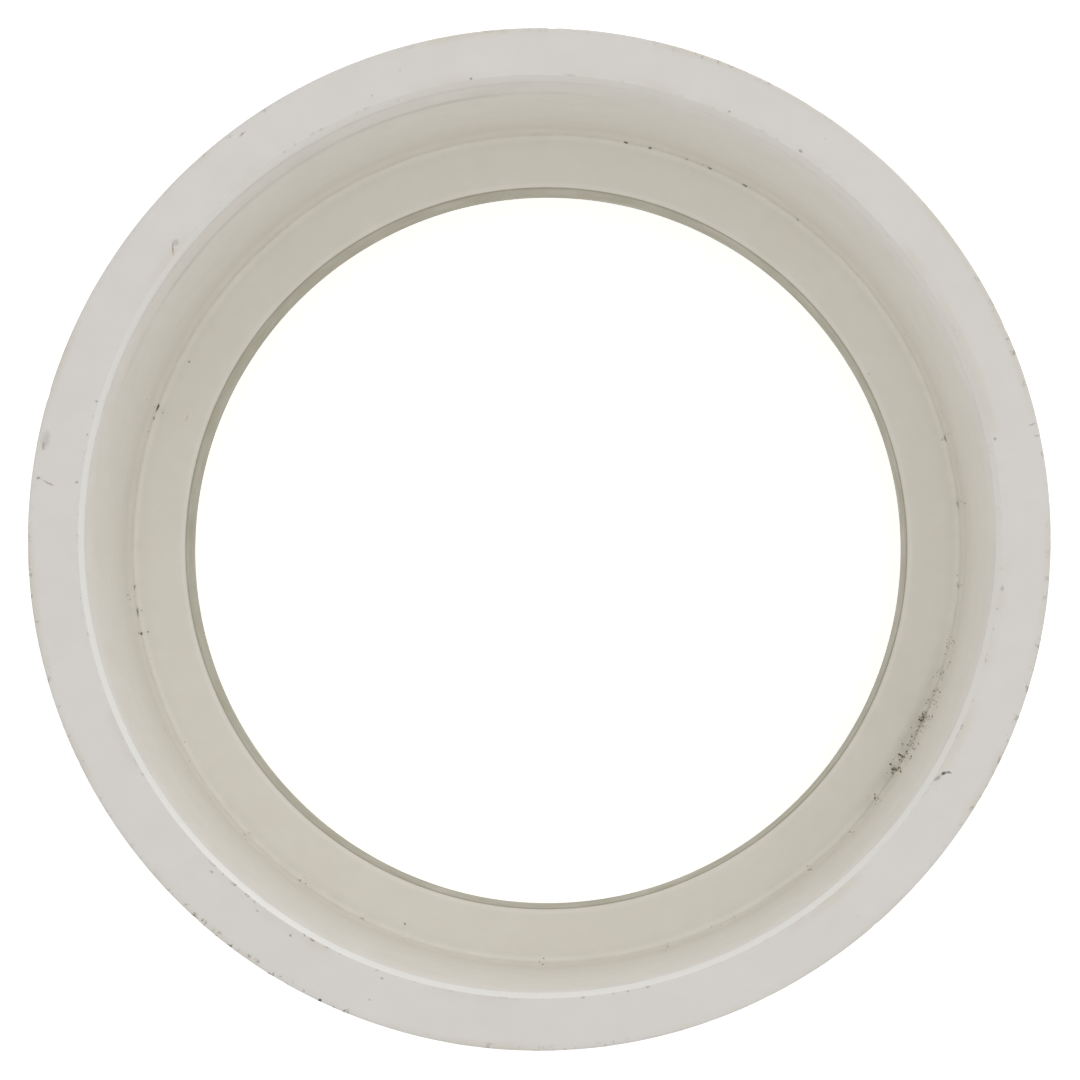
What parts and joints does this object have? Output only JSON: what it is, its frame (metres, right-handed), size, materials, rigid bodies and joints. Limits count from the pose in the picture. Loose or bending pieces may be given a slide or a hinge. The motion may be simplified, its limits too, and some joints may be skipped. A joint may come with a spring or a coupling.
{
  "type": "toilet flange hub",
  "caption": "Plain moulded toilet flange hub: a deep solvent-weld pipe socket with a flat stop shelf and a short narrower throat through its base.",
  "frame": {"origin": "centre of the flat base, on the bore axis", "axes": "+Z along the bore axis, from the base towards the mouth of the socket; X and Y are free, because the body is round"},
  "size_m": [0.1, 0.1, 0.0476],
  "materials": {
    "moulded_pvc": "satin injection-moulded rigid PVC, warm off-white, lightly scuffed"
  },
  "bodies": {
    "root": {"flange_hub": "moulded_pvc"}
  },
  "joints": []
}
